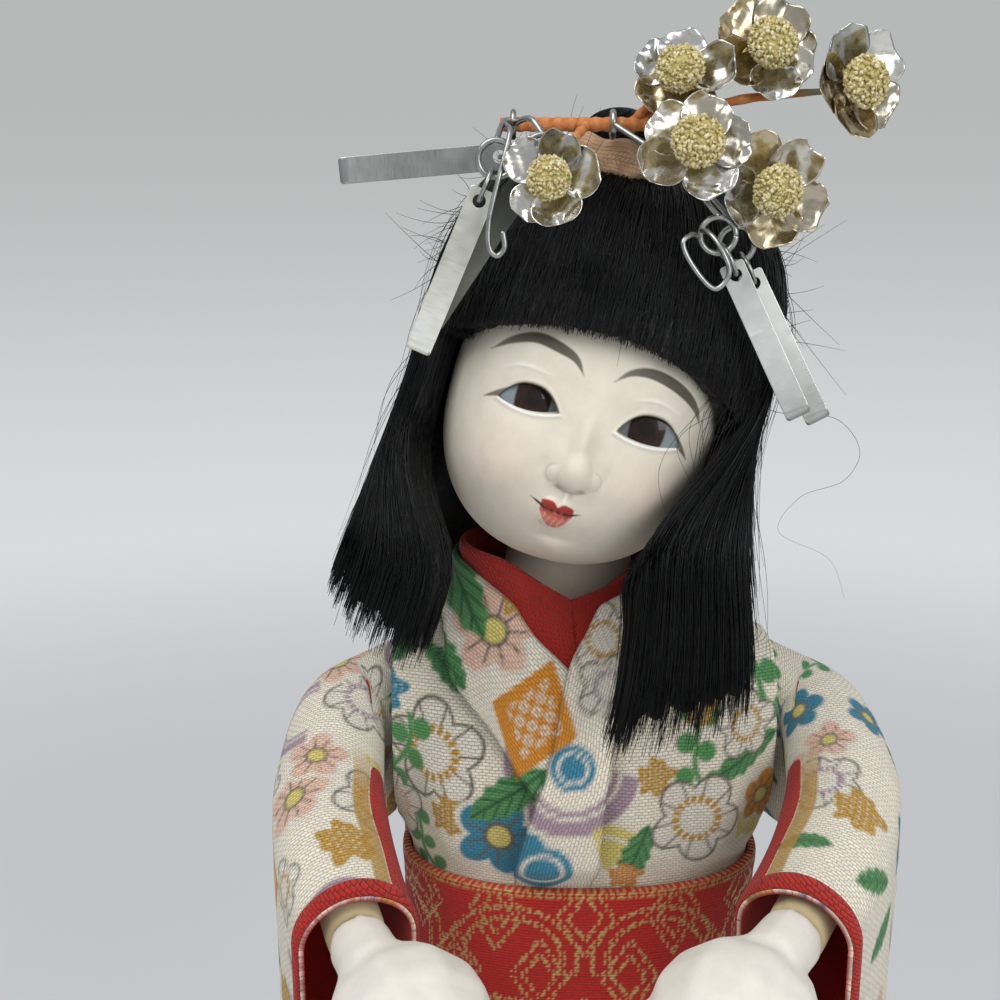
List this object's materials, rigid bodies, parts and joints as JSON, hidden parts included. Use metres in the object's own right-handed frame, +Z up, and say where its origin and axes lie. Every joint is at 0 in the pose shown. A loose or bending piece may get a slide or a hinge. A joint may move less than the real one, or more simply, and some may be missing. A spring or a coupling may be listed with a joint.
{
  "type": "kimono doll",
  "caption": "Standing girl doll with a moulded white face, glass eyes, black hair and a foil-flower ornament, in a printed kimono and red obi on a low board.",
  "frame": {"origin": "centre of the board's underside, on the surface that the doll stands on", "axes": "+Z up along the standing doll, the doll faces -Y, +X is the doll's own left"},
  "size_m": [0.118, 0.1279, 0.3098],
  "materials": {
    "lacquered_wood": "black lacquer, polished",
    "sock_cloth": "white cotton",
    "bare_wood": "bare softwood",
    "body_cloth": "stuffed cotton",
    "steel_wire": "drawn wire",
    "printed_cotton": "coarse plain weave, printed",
    "red_lining": "plain red cloth",
    "red_twill": "red twill",
    "obi_brocade": "red weave with gold thread",
    "shell_white": "shell powder on moulded wood paste, matte",
    "eye_glass": "painted behind, polished",
    "black_hair": "silk strands",
    "peach_cloth": "crinkled cloth",
    "silver_foil": "crinkled foil",
    "yellow_grit": "grit on a glued ball",
    "orange_paper": "wound paper",
    "aluminium_strip": "brushed sheet"
  },
  "bodies": {
    "figure": {"base_board": "lacquered_wood", "foot_left": "sock_cloth", "foot_right": "sock_cloth", "leg_post_left": "bare_wood", "leg_post_right": "bare_wood", "neck_peg": "bare_wood", "torso_core": "body_cloth", "arm_wire": "steel_wire", "kimono_bodice": "printed_cotton", "kimono_skirt": "printed_cotton", "skirt_lining": "red_lining", "obi_band": "obi_brocade", "obi_knot": "obi_brocade", "obi_bow_left": "obi_brocade", "obi_bow_right": "obi_brocade", "under_collar": "red_twill", "kimono_collar": "printed_cotton"},
    "head": {"head_shell": "shell_white", "eye_left": "eye_glass", "eye_right": "eye_glass", "hair_crown": "black_hair", "hair_fringe": "black_hair", "hair_lock_left": "black_hair", "hair_lock_right": "black_hair", "hair_back": "black_hair", "topknot": "black_hair", "knot_cloth": "peach_cloth", "stem_bundle": "orange_paper", "hanger_left": "steel_wire", "hanger_right": "steel_wire", "flower_1_petals": "silver_foil", "flower_2_petals": "silver_foil", "flower_3_petals": "silver_foil", "flower_4_petals": "silver_foil", "flower_5_petals": "silver_foil", "flower_6_petals": "silver_foil", "flower_1_centre": "yellow_grit", "flower_2_centre": "yellow_grit", "flower_3_centre": "yellow_grit", "flower_4_centre": "yellow_grit", "flower_5_centre": "yellow_grit", "flower_6_centre": "yellow_grit"},
    "arm_left": {"sleeve_left": "printed_cotton", "arm_left": "body_cloth", "hand_left": "shell_white"},
    "arm_right": {"sleeve_right": "printed_cotton", "arm_right": "body_cloth", "hand_right": "shell_white"},
    "strip_a": {"ring_a": "steel_wire", "strip_a": "aluminium_strip"},
    "strip_b": {"ring_b": "steel_wire", "strip_b": "aluminium_strip"},
    "strip_c": {"ring_c": "steel_wire", "strip_c": "aluminium_strip"},
    "strip_d": {"ring_d": "steel_wire", "strip_d": "aluminium_strip"},
    "strip_e": {"ring_e": "steel_wire", "strip_e": "aluminium_strip"}
  },
  "joints": [
    {"name": "head_turn", "type": "hinge", "parent": "figure", "child": "head", "pos_m": [-0.0025, -0.002, 0.2], "axis": [0, 0, 1], "range_deg": [-8, 8]},
    {"name": "arm_left_raise", "type": "hinge", "parent": "figure", "child": "arm_left", "pos_m": [0.032, 0, 0.199], "axis": [1, 0, 0], "range_deg": [-30, 10]},
    {"name": "arm_right_raise", "type": "hinge", "parent": "figure", "child": "arm_right", "pos_m": [-0.032, 0, 0.199], "axis": [1, 0, 0], "range_deg": [-30, 10]},
    {"name": "strip_a_swing", "type": "hinge", "parent": "head", "child": "strip_a", "pos_m": [-0.0078, -0.0235, 0.287], "axis": [0, 1, 0], "range_deg": [-10, 0]},
    {"name": "strip_b_swing", "type": "hinge", "parent": "head", "child": "strip_b", "pos_m": [-0.0145, -0.0285, 0.286], "axis": [0, 1, 0], "range_deg": [-12, 12]},
    {"name": "strip_c_swing", "type": "hinge", "parent": "head", "child": "strip_c", "pos_m": [-0.0078, -0.0235, 0.287], "axis": [0, 1, 0], "range_deg": [-10, 0]},
    {"name": "strip_d_swing", "type": "hinge", "parent": "head", "child": "strip_d", "pos_m": [0.0177, -0.025, 0.2753], "axis": [0, 1, 0], "range_deg": [-8, 12]},
    {"name": "strip_e_swing", "type": "hinge", "parent": "head", "child": "strip_e", "pos_m": [0.021, -0.0214, 0.2739], "axis": [0, 1, 0], "range_deg": [-8, 12]}
  ]
}
